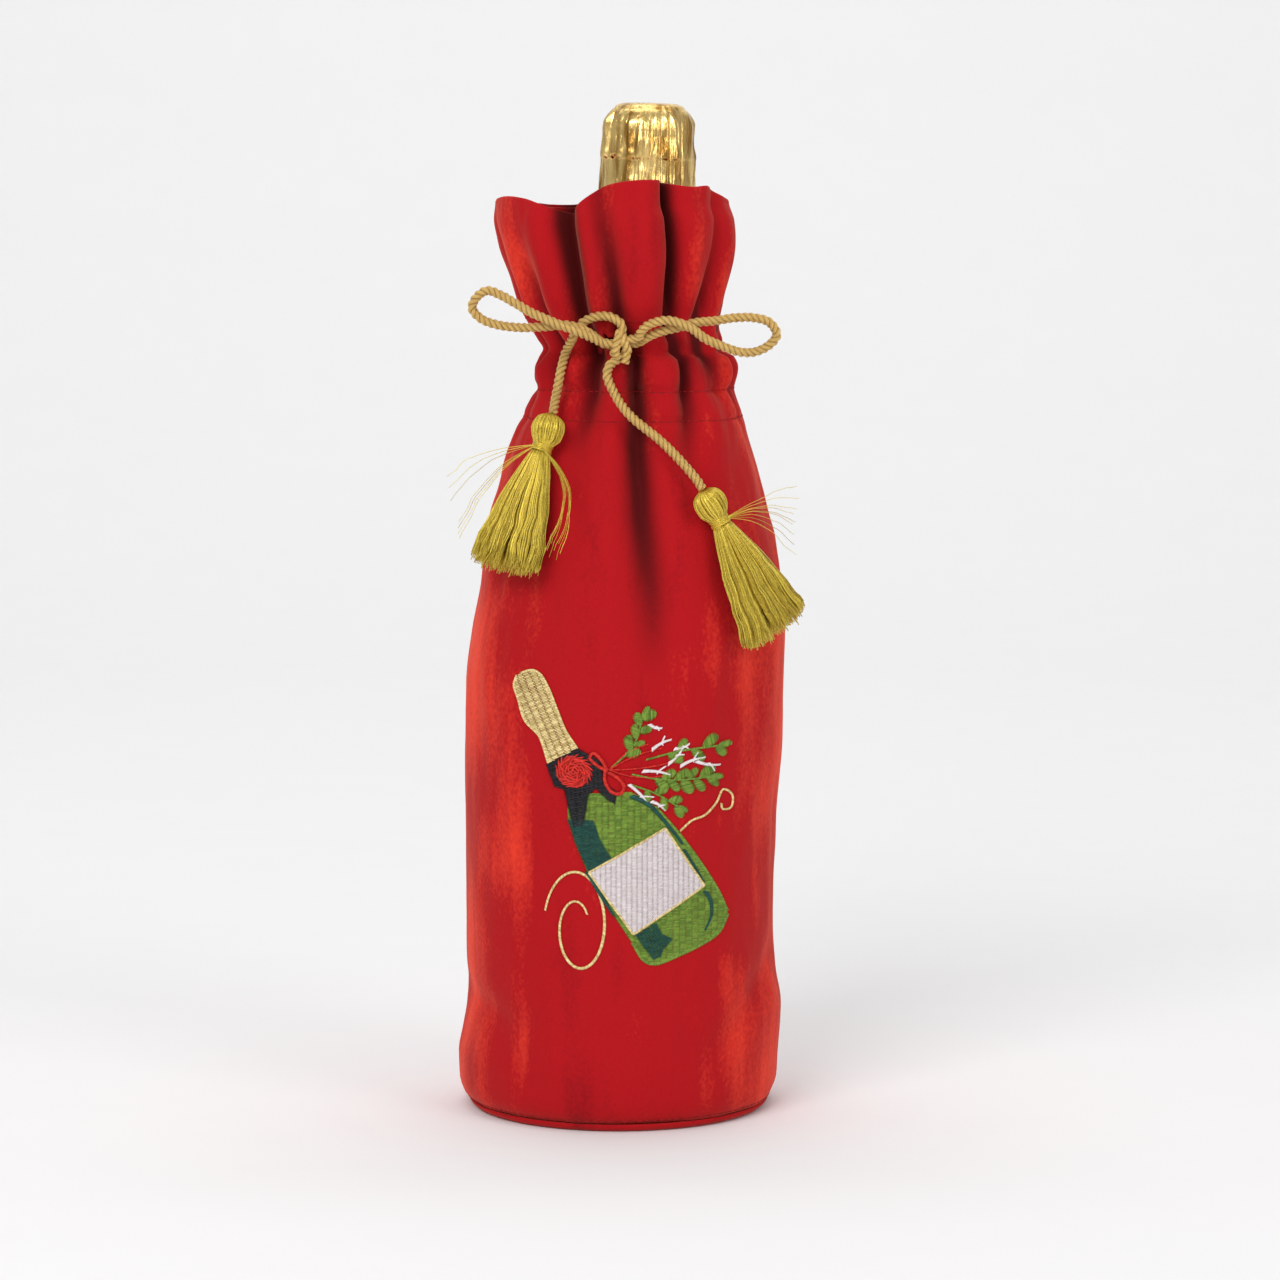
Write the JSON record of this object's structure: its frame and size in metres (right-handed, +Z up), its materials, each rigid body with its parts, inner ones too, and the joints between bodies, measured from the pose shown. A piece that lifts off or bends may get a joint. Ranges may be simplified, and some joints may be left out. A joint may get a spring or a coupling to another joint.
{
  "type": "wine gift bag",
  "caption": "Velvet bottle bag gathered at the neck by a tasselled drawstring cord, with embroidered front, holding a wired-cork bottle.",
  "frame": {"origin": "under the middle of the base, on the surface that the bag stands on", "axes": "+Z up along the bag, -Y out of the embroidered front, +X to the viewer's right as seen from the front"},
  "size_m": [0.1105, 0.1023, 0.3211],
  "materials": {
    "velvet": "crushed cotton velvet, soft sheen",
    "lining": "the same cloth's woven back",
    "red_thread": "satin sewing thread",
    "gold_cord": "twisted metallic cord",
    "tassel_thread": "loose metallic rayon threads",
    "backing": "matt non-woven stabiliser",
    "green_thread": "filled satin stitch",
    "dark_thread": "filled satin stitch",
    "black_thread": "filled satin stitch",
    "gold_thread": "metallic satin stitch",
    "white_thread": "filled satin stitch",
    "scarlet_thread": "raised satin stitch",
    "bottle_glass": "dark green, glossy",
    "wine": "clear liquid",
    "cork": "pressed cork",
    "cage_wire": "plated wire and cap",
    "gold_foil": "crumpled gold foil"
  },
  "bodies": {
    "bag": {"side_panel": "velvet", "collar_facing": "lining", "base_panel": "velvet", "base_seam_allowance": "velvet", "back_seam_allowance": "velvet", "casing_stitch_upper": "red_thread", "casing_stitch_lower": "red_thread", "facing_hem_stitch": "red_thread", "base_seam_stitch": "red_thread", "buttonhole_stitch_left": "red_thread", "buttonhole_stitch_right": "red_thread", "neck_cord": "gold_cord", "bow_knot": "gold_cord", "bow_arch": "gold_cord", "embroidery_backing": "backing", "motif_bottle": "green_thread", "motif_shade_shoulder": "dark_thread", "motif_shade_foot": "dark_thread", "motif_shade_side": "dark_thread", "motif_collar_band": "black_thread", "motif_neck_foil": "gold_thread", "motif_label": "white_thread", "motif_label_border": "gold_thread", "motif_rosette": "scarlet_thread", "motif_ribbon": "scarlet_thread", "motif_sprig_upper": "green_thread", "motif_sprig_lower": "green_thread", "motif_twigs": "white_thread", "motif_flourish": "gold_thread", "motif_curl": "gold_thread"},
    "bottle": {"glass_bottle": "bottle_glass", "wine": "wine", "cork": "cork", "cage_cap": "cage_wire", "wire_cage": "cage_wire", "foil_capsule": "gold_foil"},
    "left_loop": {"left_loop_cord": "gold_cord"},
    "right_loop": {"right_loop_cord": "gold_cord"},
    "left_tail": {"left_tail_cord": "gold_cord"},
    "right_tail": {"right_tail_cord": "gold_cord"},
    "left_tassel": {"left_tassel_head": "tassel_thread", "left_tassel_binding": "tassel_thread", "left_tassel_skirt": "tassel_thread"},
    "right_tassel": {"right_tassel_head": "tassel_thread", "right_tassel_binding": "tassel_thread", "right_tassel_skirt": "tassel_thread"}
  },
  "joints": [
    {"name": "bottle_lift", "type": "slide", "parent": "bag", "child": "bottle", "axis": [0.0302, 0, 0.9995], "range_m": [0, 0.01]},
    {"name": "left_loop_fold", "type": "hinge", "parent": "bag", "child": "left_loop", "pos_m": [-0.0056, -0.0356, 0.2466], "axis": [0, 0, 1], "range_deg": [0, 45]},
    {"name": "right_loop_fold", "type": "hinge", "parent": "bag", "child": "right_loop", "pos_m": [0.005, -0.0358, 0.2466], "axis": [0, 0, -1], "range_deg": [0, 45]},
    {"name": "left_tail_lift", "type": "hinge", "parent": "bag", "child": "left_tail", "pos_m": [-0.0147, -0.02985, 0.249], "axis": [-1, 0, 0], "range_deg": [0, 40]},
    {"name": "right_tail_lift", "type": "hinge", "parent": "bag", "child": "right_tail", "pos_m": [-0.0015, -0.0336, 0.2421], "axis": [-1, 0, 0], "range_deg": [0, 40]},
    {"name": "left_tassel_swing", "type": "hinge", "parent": "left_tail", "child": "left_tassel", "pos_m": [-0.02139, -0.03163, 0.22392], "axis": [-0.5519, -0.8339, 0], "range_deg": [-15, 15]},
    {"name": "right_tassel_swing", "type": "hinge", "parent": "right_tail", "child": "right_tassel", "pos_m": [0.02574, -0.0401, 0.20094], "axis": [0.7219, -0.6919, 0], "range_deg": [-15, 15]}
  ]
}
